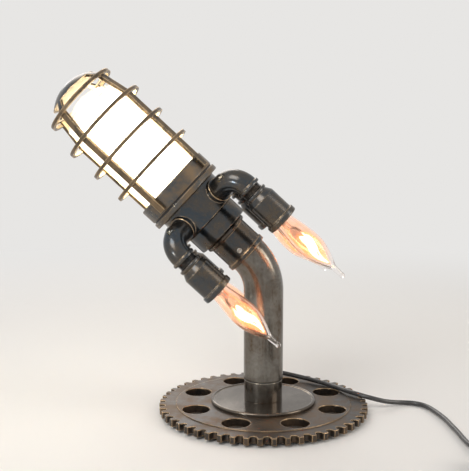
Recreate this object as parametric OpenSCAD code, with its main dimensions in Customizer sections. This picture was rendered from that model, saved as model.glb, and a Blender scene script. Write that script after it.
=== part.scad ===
// Rocket lamp: a caged jar lamp shaped as a rocket, with four flame bulbs for its thrusters, on a
// bent pipe that turns on a toothed base. Millimetres, +Z up. The origin is on the table, on the
// axis of the stem. The nose points to -X, and the front of the lamp is -Y.

/* [Base] */
// Number of teeth on the base gear
gear_teeth = 52; // [44:1:54]
// Diameter over the tooth tips
gear_d = 177; // [168:1:190]
// Thickness of the gear
gear_t = 6.5; // [5.5:0.5:9]
// Depth of the gaps between the teeth
tooth_h = 5; // [4:0.5:6]
// Width of a gap at its round root
gap_w = 5.4; // [4.6:0.2:6]
// Width of a gap at its mouth
gap_mouth_w = 7; // [6:0.2:7.4]
// Width of the toothed rim, from the tips to the step
rim_w = 14; // [12:0.5:15]
// Height of the step down to the toothed rim
rim_step = 0.8; // [0.4:0.1:1.5]
// Number of round holes in the gear
hole_count = 8; // [6:1:8]
// Diameter of the round holes
hole_d = 23; // [18:0.5:24]
// Diameter of the circle that the holes lie on
hole_circle_d = 122; // [118:1:124]
// Diameter of the felt pad
felt_d = 150; // [130:1:155]
// Thickness of the felt pad
felt_t = 2; // [1:0.5:4]
// Diameter of the polished disc
disc_d = 89; // [80:1:92]
// Thickness of the disc inside its lip
disc_t = 2.4; // [2:0.2:4]
// Radius of the disc's rounded lip
lip_r = 1.6; // [1.3:0.1:2.5]

/* [Collar and swivel] */
// Diameter of the collar under the stem
collar_d = 32.4; // [30:0.2:33.4]
// Height of the collar, from the disc to the seam
collar_h = 17; // [15:0.5:24]
// Diameter of the collar's threaded tail
tail_thread_d = 24; // [20:0.5:26]
// Thickness of the lock nut under the gear
lock_nut_t = 3.6; // [3:0.2:4.4]
// Lock nut across its flats
lock_nut_af = 34; // [30:1:38]
// Diameter of the spigot that the stem turns on
spigot_d = 20; // [18.5:0.5:21]
// Bore for the wires, through collar and spigot
wire_bore_d = 13; // [10:0.5:14]
// Length of the stem's bearing sleeve
sleeve_len = 22; // [16:1:30]
// How far the stem turns each way, in degrees
swivel_half = 90; // [45:5:120]
// Diameter of the stop lug on the spigot
lug_d = 3; // [2:0.5:4]
// How far the stop lug stands out of the spigot
lug_reach = 2; // [1:0.2:2.6]
// Thickness of the washer at the seam
seam_washer_t = 0.8; // [0.5:0.1:2]
// Thickness of the friction washer on the sleeve
friction_washer_t = 1.2; // [0.8:0.1:2]
// Thickness of the nut on the spigot
swivel_nut_t = 5; // [4:0.5:8]
// Spigot nut across its flats
swivel_nut_af = 22.5; // [21.5:0.1:22.8]
// Radial clearance of the turning fits
run_gap = 0.05; // [0.02:0.01:0.1]
// Clearance of the loose fits
loose_gap = 0.3; // [0.2:0.05:0.5]

/* [Stem] */
// Outside diameter of the pipe
pipe_d = 33.4; // [33:0.1:36]
// Wall of the pipe
pipe_wall = 3.4; // [2.5:0.1:3.6]
// Height at which the rocket's axis crosses the stem's axis
axis_h = 122.8; // [105:0.2:140]
// Tilt of the rocket's axis above the horizontal, in degrees
tilt = 43; // [42:0.5:50]
// Radius of the pipe's bend
bend_r = 42; // [36:1:50]

/* [Hub] */
// Distance along the axis from the crossing to the flange
head_reach = 89; // [88:0.2:110]
// Turn of the thrusters about the rocket's axis, in degrees
head_roll = -38.5; // [-58:0.5:-32]
// Diameter of the flange
flange_d = 70; // [68:0.5:74]
// Thickness of the flange
flange_t = 5; // [4:0.5:7]
// Edge rounding of the flange and the band
edge_r = 1; // [0.5:0.1:1.5]
// Diameter of the hub
hub_d = 58; // [56:0.5:62]
// Length of the hub under the flange
hub_len = 24.5; // [24:0.5:28]
// Bore of the hub
hub_bore_d = 44; // [43:0.5:46]
// Floor of the hub
hub_floor = 3; // [2:0.5:4]
// Diameter of the hub's tail
tail_d = 49; // [46:0.5:52]
// Length of the hub's tail
tail_len = 16; // [12:0.5:20]
// Length of the tail's nipple inside the coupling
nipple_len = 11; // [8:0.5:12]
// Outside diameter of the coupling
coupling_d = 36; // [35.6:0.2:38]
// Length of the coupling
coupling_len = 27.4; // [24:0.2:27.8]
// Radius of the coupling's upper bead
bead_r = 2.2; // [1.5:0.1:2.5]
// Diameter of the coupling's end rim
coupling_rim_d = 38; // [37:0.2:42]
// Length of the coupling's end rim
coupling_rim_len = 4; // [3:0.5:6]
// Length of pipe inside the coupling
pipe_in_coupling = 8; // [6:0.5:10]

/* [Jar and guard] */
// Turn of the guard about the rocket's axis, in degrees
cage_roll = -29.5; // [-45:0.5:45]
// Outside diameter of the glass jar
jar_d = 54; // [50:0.5:56]
// Wall of the jar
jar_wall = 2.5; // [2:0.1:3.5]
// Height of the jar's dome above the flange's middle
jar_top = 117; // [112:0.5:118]
// Radius of the jar's domed end
jar_dome_r = 36; // [32:1:50]
// Diameter of the jar's lip
jar_lip_d = 60; // [58:0.5:61]
// Thickness of the jar's lip
jar_lip_t = 4; // [3:0.5:5]
// Thickness of the rubber ring under the jar
gasket_t = 1; // [0.5:0.1:2]
// Diameter of the guard's band
band_d = 68.6; // [67:0.2:70]
// Height of the band's upper edge above the flange's middle
band_top = 17; // [14:0.5:20]
// Thickness of the guard's hoops, outwards
hoop_t = 3; // [2:0.1:3.5]
// Height of a hoop, along the axis
hoop_h = 3; // [2:0.2:4]
// Height of the lowest hoop above the flange's middle
hoop_first = 38; // [34:0.5:42]
// Height of the highest hoop above the flange's middle
hoop_last = 116.5; // [115:0.5:122]
// Number of hoops
hoop_count = 4; // [3:1:5]
// Number of bars in the guard
bar_count = 4; // [4:1:6]
// Width of a bar
bar_w = 5.6; // [4:0.2:7]
// Thickness of a bar
bar_t = 3; // [2.4:0.1:3.4]
// How far the bars lean in between the two highest hoops
bar_lean = 6; // [5:0.2:6.6]
// Diameter of the dome on the bars' ends
cap_d = 59; // [58:0.5:61]
// Height of the dome
cap_h = 15.5; // [14:0.5:20]
// Wall of the dome
cap_wall = 2.4; // [2:0.1:3]
// Height of the windows in the dome
window_h = 6; // [4:0.5:7]

/* [Main lamp] */
// Clearance of the lamp holder's head in the hub's bore
holder_head_gap = 0.2; // [0.1:0.05:0.4]
// Diameter of the holder's lower body
holder_body_d = 33; // [31:0.5:34]
// Length of the holder's head
holder_head_len = 10; // [8:0.5:12]
// Diameter of the screw base of the main bulb
main_base_d = 26.4; // [25:0.1:27]
// Diameter of the main bulb
main_bulb_d = 44; // [40:0.5:45]
// Top of the main bulb above the flange's middle
main_bulb_top = 106; // [95:0.5:108]
// Wall of the bulbs' glass
bulb_wall = 1; // [0.6:0.1:1.2]

/* [Thrusters] */
// Number of thrusters
thrusters = 4; // [4:1:4]
// Distance from the rocket's axis to a thruster's axis
thruster_r = 53.5; // [53:0.5:60]
// Distance from the flange's middle to the ports
port_s = 16; // [15:0.5:17]
// Diameter of the elbow's tube
elbow_d = 18.6; // [17:0.2:20]
// Bend radius of the elbow
elbow_r = 14; // [12:0.5:15]
// Bore of the elbow
elbow_bore_d = 10; // [8:0.5:11]
// Diameter of the elbow's threaded ends
elbow_thread_d = 15.4; // [14:0.2:16]
// Diameter of the hub's port bosses
boss_d = 21.4; // [20.4:0.2:22]
// How far a boss stands out of the hub
boss_h = 2.6; // [2:0.2:4]
// Diameter of the beads on the elbow and the cup
thruster_bead_d = 21; // [20.4:0.2:22]
// Length of a bead
thruster_bead_len = 3; // [2:0.2:4]
// Bare thread between the elbow and the cup
thread_gap = 4.4; // [3:0.2:6]
// Diameter of the cup
cup_d = 24.6; // [24:0.2:26]
// Length of the cup
cup_len = 32.5; // [31:0.5:36]
// Length of the cup's shoulder
shoulder_len = 5; // [3:0.5:7]
// Diameter of the cup's end rim
cup_rim_d = 27.2; // [26.4:0.2:29]
// Length of the cup's end rim
cup_rim_len = 5; // [3:0.5:7]
// Length of thread inside the cup
cup_thread_len = 10.5; // [8:0.5:12]
// Bore of the cup's mouth
cup_bore_d = 20.6; // [20:0.2:22]
// Diameter of the flame bulb's screw base
flame_base_d = 11.8; // [11:0.1:12.5]
// Length of the flame bulb's screw base
flame_base_len = 14; // [12:0.5:15]
// Greatest diameter of the flame bulb
flame_d = 21; // [18:0.5:23]
// Diameter of the flame bulb's neck
flame_neck_d = 14.4; // [13:0.2:16]
// Length of the flame bulb's glass, without its tail
flame_len = 60; // [54:1:68]
// Share of the glass below the widest place
flame_belly = 0.54; // [0.4:0.02:0.6]
// How fast the glass narrows above the widest place
flame_taper = 1.15; // [1:0.05:1.6]
// Radius of the drawn glass tail where it starts
flame_tail_r = 2.5; // [1.8:0.1:3]
// Radius of the drawn glass tail before its bead
flame_waist_r = 1.8; // [1.2:0.1:2]
// Radius of the bead on the tail's end
flame_tip_r = 2.2; // [2:0.1:3]
// Length of the drawn glass tail
flame_tail_len = 9.4; // [6:0.2:12]

/* [Cord, switch and plug] */
// Diameter of the cord
cord_d = 4; // [4:0.1:4.2]
// Height of the gland's axis over the disc
gland_h = 8.6; // [7:0.2:9]
// Diameter of the gland's shank in the collar
gland_shank_d = 9; // [8:0.2:10]
// Diameter of the gland's flange
gland_flange_d = 12; // [11:0.5:14]
// Thickness of the gland's flange
gland_flange_t = 2.8; // [2:0.2:4]
// Length of the gland's tapered sleeve
gland_len = 20; // [20:1:40]
// Diameter of the sleeve's tip
gland_tip_d = 5.6; // [5.2:0.2:7]
// Length of the switch
switch_len = 56; // [54:1:70]
// Width of the switch
switch_w = 20; // [19:0.5:26]
// Height of the lower half of the switch
switch_base_h = 7; // [6:0.5:9]
// Height of the upper half of the switch
switch_cover_h = 8; // [8:0.5:10]
// Wall of the switch
switch_wall = 2; // [1.5:0.1:2.5]
// Length of the rocker's window
window_len = 22; // [20:0.5:26]
// Width of the rocker's window
window_w = 11; // [9:0.5:11.5]
// How far the rocker tips each way, in degrees
rocker_half = 10; // [6:1:12]
// Diameter of the rocker's pivots
pivot_d = 3; // [2:0.2:3.4]
// Length of the plug's body
plug_len = 32; // [28:1:40]
// Width of the plug's body
plug_w = 25; // [22:0.5:30]
// Height of the plug's body
plug_h = 20; // [16:0.5:22]
// Distance between the plug's blades
blade_pitch = 12.7; // [12.7:0.1:12.8]
// Width of a blade
blade_w = 6.4; // [6.3:0.1:6.6]
// Thickness of a blade
blade_t = 1.5; // [1.4:0.1:1.6]
// Length of a blade
blade_len = 16; // [15:0.5:18]

/* [Hidden] */
THRUSTER_NODES = ["elbow", "cup", "holder", "bulb_base", "bulb_glass", "electrodes"];
$fn = 64;

// Colours
IRON = "#33312f";
BRONZE = "#5d4a35";
STEEL = "#8a7f70";
BRASS = "#b58a45";
GLASS = [0.85, 0.88, 0.9, 0.35];
BLACK = "#1b1b1c";

// Heights in the base
gear_z = felt_t;
disc_z = gear_z + gear_t;
collar_z = disc_z + disc_t;
seam_z = collar_z + collar_h;
stem_z = seam_z + seam_washer_t + run_gap;
sleeve_top = stem_z + sleeve_len;
nut_z = sleeve_top + run_gap + friction_washer_t;
spigot_spare = 1.5;
spigot_top = nut_z + swivel_nut_t + spigot_spare;
nut_sunk = 0.4;
nut_room = 2;
nut_recess_h = lock_nut_t + nut_sunk;
nut_recess_d = lock_nut_af / cos(30) + nut_room;
gland_z = collar_z + gland_h;
notch_room = 1;
notch_h = lug_d + notch_room;

// Stem
turn = 90 - tilt;
pipe_bore_d = pipe_d - 2 * pipe_wall;
thread_drop = 0.4;
thread_root = 1;
pipe_thread_d = pipe_d - thread_drop;

// Stations along the rocket's axis, from the flange's middle, + to the nose
hub_top = -flange_t / 2;
hub_bottom = hub_top - hub_len;
hub_floor_z = hub_bottom + hub_floor;
tail_bottom = hub_bottom - tail_len;
coupling_bottom = tail_bottom - coupling_len;
pipe_end = coupling_bottom + pipe_in_coupling;
// The bend is a fillet between the two legs, so the leg before the coupling limits its radius
pipe_straight = 0.1;
bend_room = (head_reach + coupling_bottom - pipe_straight) / tan(turn / 2);
bend_fit_r = min(bend_r, bend_room);
bend_tangent = bend_fit_r * tan(turn / 2);
holder_drop = 0.5;
holder_top = hub_top - holder_drop;
lead_hole_d = 8;
lead_d = 4.4;
flange_step = 1;
flange_bore_d = hub_bore_d + 2 * flange_step;
gasket_z = flange_t / 2;
jar_z = gasket_z + gasket_t;
bar_seat = 0.1;
bar_r = band_d / 2 - bar_seat + bar_t;
bar_top_r = bar_r - bar_lean;
bar_top = hoop_last + hoop_h / 2;
hoop_sink = 0.6;
hoop_step = (hoop_last - hoop_first) / (hoop_count - 1);
holder_floor = 4.5;
main_base_z = hub_floor_z + holder_floor;
neck_rise = 6;
main_neck_z = hub_top + neck_rise;

// Stations along a thruster, from the port's axis, + to the tail
elbow_end = elbow_r + thruster_bead_len;
cup_z = elbow_end + thread_gap;
cup_end = cup_z + cup_len;
thread_end = cup_z + cup_thread_len;
holder_z = thread_end + loose_gap;
flame_holder_floor = 2.4;
flame_base_z = holder_z + flame_holder_floor;
flame_z = flame_base_z + flame_base_len;
port_depth = hub_d / 2 - hub_bore_d / 2;
thruster_lead_d = 3;

// The cord's route from the gland over the gear's rim to the switch
CORD_RUN = [
    [0, 39, 19.5], [0, 44, 19.5], [2, 51, 18.8], [8, 58, 17], [18, 61.5, 15.2],
    [30, 59.5, 13.2], [41, 54, 12], [51, 47, 11.2], [60, 38.5, 10.8], [68, 28.5, 10.7],
    [75, 19, 10.7], [82, 11.4, 10.6], [89, 6.6, 9.8], [96, 4.8, 8.4], [103, 5.4, 6.5],
    [110, 8, 4.6], [117, 11, 3.2], [124, 12.8, 2.4], [131, 12, 2.2], [137, 8.4, 2.2],
    [141.5, 2, 2.2], [144.5, -7, 2.2], [147, -18, 2.2], [149, -30, 2.2], [150, -43, 2.2],
    [151, -56, 2.2], [151.5, -68, 2.2], [152, -79, 2.2], [153, -89, 2.8], [155, -98, 4.4],
    [157, -107, 6.2], [158, -115, 7], [158, -120, 7]
];
// The cord from the switch to the coil, and from the coil to the plug
COIL_IN = [[158, -176, 7], [158, -180, 7], [158, -186, 5.6], [158, -192, 3.8], [158, -198, 3],
    [158, -204, 3]];
COIL_OUT = [[124, -238, 16.2], [117, -238, 15], [110, -238, 13.2], [103, -238, 11.4],
    [96, -238, 10.3], [90, -238, 10], [86, -238, 10]];
// The put-away coil: middle of its lowest turn, outer radius, turns and layers
coil_centre = [130, -210, 3];
coil_r = 28;
coil_turns = 9.25;
coil_layers = 4;
coil_pitch = 4.6;
coil_rise = 4.5;
loop_rings = 24;
loop_sides = 6;
run_sides = 8;
tie_t = 0.8;
tie_w = 8;
switch_place = [158, -148, 0];
plug_place = [86, -238, 10];
relief_len = 20;
relief_d = 10;

// Shared shapes
module tube(d_out, d_in, h) {
    difference() {
        cylinder(d = d_out, h = h);
        translate([0, 0, -1]) cylinder(d = d_in, h = h + 2);
    }
}

// A round bar of radius r from z0 up to a domed end at z1, the dome being part of a sphere
module domed_bar(r, z0, z1, dome_r) {
    intersection() {
        translate([0, 0, z0]) cylinder(r = r, h = z1 - z0 + 1);
        union() {
            translate([0, 0, z1 - dome_r]) sphere(r = dome_r, $fn = 96);
            translate([0, 0, z0 - 1]) cylinder(r = r + 1, h = z1 - dome_drop(r, dome_r) - z0 + 1);
        }
    }
}
function dome_drop(r, dome_r) = dome_r - sqrt(dome_r * dome_r - r * r);

// A plate outline with round corners
module round_plate(len_x, len_y, r) {
    square([len_x - 2 * r, len_y], center = true);
    square([len_x, len_y - 2 * r], center = true);
    for (x = [-1, 1], y = [-1, 1])
        translate([x * (len_x / 2 - r), y * (len_y / 2 - r)]) circle(r = r);
}

// A ring with softened outer edges
module soft_ring(d_out, d_in, h, r) {
    rotate_extrude() {
        translate([d_in / 2, 0]) square([(d_out - d_in) / 2 - r, h]);
        translate([d_in / 2, r]) square([(d_out - d_in) / 2, h - 2 * r]);
        for (z = [r, h - r]) translate([d_out / 2 - r, z]) circle(r = r);
    }
}

// The frame of the rocket's head: origin at the flange's middle, +Z to the nose
module head_frame() {
    translate([0, 0, axis_h]) rotate([0, -turn, 0]) translate([0, 0, head_reach]) children();
}

// The frame of thruster i: origin where its axis meets the port's axis, +Z to the tail, +X outwards
module thruster_frame(i) {
    head_frame() rotate([0, 0, head_roll + (i - 1) * 360 / thrusters])
        translate([thruster_r, 0, -port_s]) rotate([180, 0, 0]) children();
}

// Base
module base_felt() {
    color("#1f1d1b") cylinder(d = felt_d, h = felt_t);
}

module tooth_gap() {
    root_r = gap_w / 2;
    centre_r = gear_d / 2 - tooth_h + root_r;
    translate([centre_r, 0]) circle(r = root_r);
    polygon([
        [centre_r, -root_r], [gear_d / 2, -gap_mouth_w / 2], [gear_d / 2 + 1, -gap_mouth_w / 2],
        [gear_d / 2 + 1, gap_mouth_w / 2], [gear_d / 2, gap_mouth_w / 2], [centre_r, root_r]
    ]);
}

module base_gear() {
    color(IRON) translate([0, 0, gear_z]) difference() {
        union() {
            linear_extrude(gear_t - rim_step) difference() {
                circle(d = gear_d, $fn = 180);
                for (k = [1 : gear_teeth]) rotate(k * 360 / gear_teeth) tooth_gap();
            }
            cylinder(d = gear_d - 2 * rim_w, h = gear_t, $fn = 120);
        }
        for (k = [1 : hole_count])
            rotate([0, 0, (k - 0.5) * 360 / hole_count]) translate([hole_circle_d / 2, 0, -1])
                cylinder(d = hole_d, h = gear_t + 2);
        translate([0, 0, -1]) cylinder(d = tail_thread_d, h = gear_t + 2);
        translate([0, 0, -1]) cylinder(d = nut_recess_d, h = nut_recess_h + 1);
    }
}

module base_disc() {
    lip_z = max(lip_r, disc_t - lip_r / 2);
    color("#77726c") translate([0, 0, disc_z]) rotate_extrude($fn = 120) {
        translate([tail_thread_d / 2, 0]) square([(disc_d - tail_thread_d) / 2 - lip_r, disc_t]);
        translate([disc_d / 2 - lip_r, lip_z]) circle(r = lip_r);
        translate([disc_d / 2 - lip_r, 0]) square([lip_r, lip_z]);
    }
}

module base_collar() {
    tail_z = gear_z + nut_recess_h - lock_nut_t;
    color(STEEL) difference() {
        union() {
            translate([0, 0, tail_z]) cylinder(d = tail_thread_d, h = collar_z - tail_z);
            translate([0, 0, collar_z]) cylinder(d = collar_d, h = collar_h);
            translate([0, 0, seam_z]) cylinder(d = spigot_d, h = spigot_top - seam_z);
            translate([0, 0, sleeve_top - notch_h / 2]) rotate([-90, 0, 0])
                cylinder(d = lug_d, h = spigot_d / 2 + lug_reach);
        }
        translate([0, 0, tail_z - 1]) cylinder(d = wire_bore_d, h = spigot_top - tail_z + 2);
        translate([0, 0, gland_z]) rotate([-90, 0, 0]) cylinder(d = gland_shank_d, h = collar_d);
    }
}

module collar_nut() {
    color(STEEL) translate([0, 0, gear_z + nut_recess_h - lock_nut_t]) difference() {
        cylinder(d = lock_nut_af / cos(30), h = lock_nut_t, $fn = 6);
        translate([0, 0, -1]) cylinder(d = tail_thread_d, h = lock_nut_t + 2);
    }
}

module swivel_washer() {
    color(BLACK) translate([0, 0, seam_z]) tube(collar_d, spigot_d + 2 * loose_gap, seam_washer_t);
}

module friction_washer() {
    color(BRASS) translate([0, 0, sleeve_top + run_gap])
        tube(pipe_bore_d - 4 * loose_gap, spigot_d + 2 * loose_gap, friction_washer_t);
}

module swivel_nut() {
    color(STEEL) translate([0, 0, nut_z]) difference() {
        cylinder(d = swivel_nut_af / cos(30), h = swivel_nut_t, $fn = 6);
        translate([0, 0, -1]) cylinder(d = spigot_d, h = swivel_nut_t + 2);
    }
}

module cord_gland() {
    flange_y = collar_d / 2;
    shank_inset = 1;
    shank_y = wire_bore_d / 2 + shank_inset;
    color(BLACK) translate([0, 0, gland_z]) rotate([-90, 0, 0]) {
        translate([0, 0, shank_y]) cylinder(d = gland_shank_d, h = flange_y - shank_y);
        translate([0, 0, flange_y]) cylinder(d = gland_flange_d, h = gland_flange_t);
        translate([0, 0, flange_y + gland_flange_t])
            cylinder(d1 = gland_shank_d, d2 = gland_tip_d, h = gland_len);
    }
}

// Cord: a round tube swept along a list of points, each ring square to the route
function unit(v) = v / norm(v);
function heading(p, i) = unit(p[min(i + 1, len(p) - 1)] - p[max(i - 1, 0)]);
function ring(c, t, r, sides) =
    let (side = unit(cross(t, [0, 0, 1])), up = cross(side, t))
    [for (k = [0 : sides - 1]) c + r * (cos(k * 360 / sides) * side + sin(k * 360 / sides) * up)];

module swept_tube(route, d, sides) {
    n = len(route);
    points = [for (i = [0 : n - 1]) each ring(route[i], heading(route, i), d / 2, sides)];
    walls = [
        for (i = [0 : n - 2], k = [0 : sides - 1])
            let (a = i * sides + k, b = i * sides + (k + 1) % sides)
            each [[a, b, b + sides], [a, b + sides, a + sides]]
    ];
    last = (n - 1) * sides;
    caps = [
        for (k = [1 : sides - 2]) each [[0, k + 1, k], [last, last + k, last + k + 1]]
    ];
    polyhedron(points = points, faces = concat(walls, caps), convexity = 10);
}

module cord_run() {
    color(BLACK) swept_tube(CORD_RUN, cord_d, run_sides);
}

// The coil spirals in and out at a steady rate, and climbs a layer in the half turn where it reverses
layer_turns = coil_turns / coil_layers;
function fold(u) = abs(u - 2 * round(u / 2));
function coil_radius(turns) = coil_r - coil_pitch * layer_turns * fold(turns / layer_turns);
function ease(x) = let (u = min(max(x, 0), 1)) u * u * (3 - 2 * u);
function coil_height(turns) =
    let (steps = [for (k = [1 : coil_layers - 1]) ease((turns - k * layer_turns) * 2 + 0.5)])
    coil_rise * (steps * [for (s = steps) 1]);
function coil_point(turns) =
    coil_centre + [coil_radius(turns) * cos(360 * turns), -coil_radius(turns) * sin(360 * turns),
                   coil_height(turns)];
function coil_route(per_turn) =
    concat(COIL_IN, [for (k = [0 : coil_turns * per_turn]) coil_point(k / per_turn)], COIL_OUT);
function route_length(p) =
    let (steps = [for (i = [1 : len(p) - 1]) norm(p[i] - p[i - 1])]) steps * [for (s = steps) 1];
function least_gap(p, apart) =
    min([for (i = [0 : len(p) - 1 - apart], j = [i + apart : len(p) - 1]) norm(p[i] - p[j])]);

module cord_coil() {
    gap_rings = 72;
    echo(least_gap_mm = least_gap(coil_route(gap_rings), gap_rings / 2) - cord_d,
         coil_length_mm = route_length(coil_route(gap_rings)),
         run_length_mm = route_length(CORD_RUN));
    color(BLACK) swept_tube(coil_route(loop_rings), cord_d, loop_sides);
}

// A flat tie round the bundle of turns, on the coil's left
module coil_tie() {
    inner_r = coil_r - coil_pitch * layer_turns;
    inner_room = 1;
    floor_room = 0.1;
    low_x = inner_r - cord_d / 2 - inner_room;
    high_x = coil_r + cord_d / 2 + loose_gap;
    low_z = coil_centre[2] - cord_d / 2 - floor_room;
    high_z = coil_centre[2] + coil_rise * (coil_layers - 1) + cord_d / 2 + loose_gap;
    color("#4a4a4c") translate([coil_centre[0], coil_centre[1], 0]) rotate([90, 0, 180])
        translate([0, 0, -tie_w / 2]) linear_extrude(tie_w) difference() {
            translate([low_x - tie_t, low_z - tie_t])
                square([high_x - low_x + 2 * tie_t, high_z - low_z + 2 * tie_t]);
            translate([low_x, low_z]) square([high_x - low_x, high_z - low_z]);
        }
}

// Switch on the cord
switch_r = 6;
pivot_rise = 3.8;
pivot_z = switch_base_h + pivot_rise;
cheek_gap = 0.6;
module switch_base() {
    color(BLACK) translate(switch_place) difference() {
        linear_extrude(switch_base_h) round_plate(switch_w, switch_len, switch_r);
        translate([0, 0, switch_wall]) linear_extrude(switch_base_h)
            round_plate(switch_w - 2 * switch_wall, switch_len - 2 * switch_wall,
                        switch_r - switch_wall);
    }
}

module switch_cover() {
    cheek_x = window_w / 2 + cheek_gap / 2;
    cheek_t = switch_w / 2 - switch_wall / 2 - cheek_x;
    cheek_len = 3 * pivot_d;
    cheek_lift = 0.1;
    color(BLACK) translate(switch_place) difference() {
        union() {
            difference() {
                translate([0, 0, switch_base_h]) linear_extrude(switch_cover_h)
                    round_plate(switch_w, switch_len, switch_r);
                translate([0, 0, switch_base_h - 1]) linear_extrude(switch_cover_h + 1 - switch_wall)
                    round_plate(switch_w - 2 * switch_wall, switch_len - 2 * switch_wall,
                                switch_r - switch_wall);
            }
            for (x = [-1, 1])
                translate([x * (cheek_x + cheek_t / 2), 0, switch_base_h + switch_cover_h / 2])
                    cube([cheek_t, cheek_len, switch_cover_h - 2 * cheek_lift], center = true);
        }
        translate([0, 0, switch_base_h + switch_cover_h])
            cube([window_w, window_len, 4 * switch_wall], center = true);
        translate([-switch_w / 2 + switch_wall / 2, 0, pivot_z]) rotate([0, 90, 0])
            cylinder(d = pivot_d + 2 * run_gap, h = switch_w - switch_wall);
    }
}

module switch_rocker() {
    end_room = 1.4;
    proud = 1.3;
    hollow = 1.5;
    low = -2;
    half_len = window_len / 2 - end_room;
    crest = switch_cover_h - pivot_rise + proud;
    dip = crest - hollow;
    width = window_w - 2 * loose_gap;
    pivot_len = switch_w - 2.5 * switch_wall;
    color("#26262a") translate(switch_place + [0, 0, pivot_z]) rotate([rocker_half, 0, 0]) {
        rotate([90, 0, 90]) translate([0, 0, -width / 2]) linear_extrude(width)
            polygon([[-half_len, low], [half_len, low], [half_len, crest], [0, dip],
                     [-half_len, crest]]);
        translate([-pivot_len / 2, 0, 0]) rotate([0, 90, 0]) cylinder(d = pivot_d, h = pivot_len);
    }
}

// Plug
module plug_body() {
    corner_r = 5;
    relief_wall = 1;
    color(BLACK) translate(plug_place) rotate([0, -90, 0]) {
        cylinder(d1 = cord_d + 2 * relief_wall, d2 = relief_d, h = relief_len);
        translate([0, 0, relief_len]) linear_extrude(plug_len)
            round_plate(plug_h, plug_w, corner_r);
    }
}

module plug_pins() {
    color(BRASS) translate(plug_place + [-relief_len - plug_len - blade_len, 0, 0])
        for (y = [-1, 1])
            translate([0, y * blade_pitch / 2 - blade_t / 2, -blade_w / 2])
                cube([blade_len, blade_t, blade_w]);
}

// Stem: a straight foot, the bend, and a threaded end that is a little thinner. The foot and the bend
// meet at a whole thousandth of a millimetre, so that no gap is left between them
finest = 0.001;
module stem_solid(d, from_z, to_s) {
    bend_z = round((axis_h - bend_tangent) / finest) * finest;
    end_z = bend_tangent - head_reach - thread_root;
    translate([0, 0, from_z]) cylinder(d = d, h = bend_z - from_z);
    translate([-bend_fit_r, 0, bend_z]) rotate([90, 0, 0])
        rotate_extrude(angle = turn) translate([bend_fit_r, 0]) circle(d = d);
    head_frame() translate([0, 0, end_z]) cylinder(d = d - thread_drop, h = to_s - end_z);
}

module stem_pipe() {
    color(STEEL) difference() {
        stem_solid(pipe_d, stem_z, pipe_end);
        stem_solid(pipe_bore_d, stem_z - 1, pipe_end + 1);
    }
}

module stem_sleeve() {
    notch_half = swivel_half + asin((lug_d / 2 + loose_gap) / (spigot_d / 2));
    color(BRASS) difference() {
        translate([0, 0, stem_z]) tube(pipe_bore_d, spigot_d + 2 * run_gap, sleeve_len);
        translate([0, 0, sleeve_top - notch_h]) rotate([0, 0, 90 - notch_half])
            rotate_extrude(angle = 2 * notch_half)
                square([spigot_d / 2 + lug_reach + loose_gap, notch_h + 1]);
    }
}

module stem_coupling() {
    color(BRONZE) head_frame() rotate_extrude() difference() {
        union() {
            translate([0, coupling_bottom]) square([coupling_d / 2, coupling_len]);
            translate([coupling_d / 2, tail_bottom - bead_r]) circle(r = bead_r);
            translate([0, coupling_bottom]) square([coupling_rim_d / 2, coupling_rim_len]);
        }
        translate([0, coupling_bottom - 1]) square([pipe_thread_d / 2, coupling_len + 2]);
    }
}

// Hub
module hub_tail() {
    bore_d = pipe_bore_d;
    color(IRON) head_frame() difference() {
        union() {
            translate([0, 0, tail_bottom]) soft_ring(tail_d, bore_d / 2, tail_len, edge_r);
            translate([0, 0, tail_bottom - nipple_len]) cylinder(d = pipe_thread_d, h = nipple_len + 1);
        }
        translate([0, 0, tail_bottom - nipple_len - 1])
            cylinder(d = bore_d, h = tail_len + nipple_len + 2);
    }
}

module hub_body() {
    color(IRON) head_frame() difference() {
        union() {
            translate([0, 0, hub_bottom]) cylinder(d = hub_d, h = hub_len);
            for (i = [1 : thrusters])
                rotate([0, 0, head_roll + (i - 1) * 360 / thrusters]) translate([0, 0, -port_s])
                    rotate([0, 90, 0]) cylinder(d = boss_d, h = hub_d / 2 + boss_h);
        }
        translate([0, 0, hub_floor_z]) cylinder(d = hub_bore_d, h = hub_len);
        translate([0, 0, hub_bottom - 1]) cylinder(d = lead_hole_d, h = hub_len);
        for (i = [1 : thrusters])
            rotate([0, 0, head_roll + (i - 1) * 360 / thrusters]) translate([0, 0, -port_s])
                rotate([0, 90, 0]) cylinder(d = elbow_thread_d, h = hub_d);
    }
}

module hub_flange() {
    color(BRONZE) head_frame() translate([0, 0, hub_top])
        soft_ring(flange_d, flange_bore_d, flange_t, edge_r);
}

// Jar and guard
module jar_gasket() {
    color(BLACK) head_frame() translate([0, 0, gasket_z])
        tube(band_d - 2 * edge_r, flange_bore_d, gasket_t);
}

module glass_jar() {
    in_r = jar_d / 2 - jar_wall;
    color(GLASS) head_frame() difference() {
        union() {
            translate([0, 0, jar_z]) cylinder(d = jar_lip_d, h = jar_lip_t);
            domed_bar(jar_d / 2, jar_z, jar_top, jar_dome_r);
        }
        domed_bar(in_r, jar_z - 1, jar_top - jar_wall, jar_dome_r - jar_wall);
    }
}

module cage_band() {
    lip_room = jar_lip_t + run_gap;
    h = band_top - jar_z;
    color(BRONZE) head_frame() translate([0, 0, jar_z]) difference() {
        soft_ring(band_d, jar_d + 2 * loose_gap, h, edge_r);
        translate([0, 0, -1]) cylinder(d = jar_lip_d + 2 * loose_gap, h = lip_room + 1);
    }
}

// A hoop round bars whose outside is at radius r
module guard_hoop(r) {
    tube(2 * (r - hoop_sink + hoop_t), 2 * (r - hoop_sink), hoop_h);
}

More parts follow.
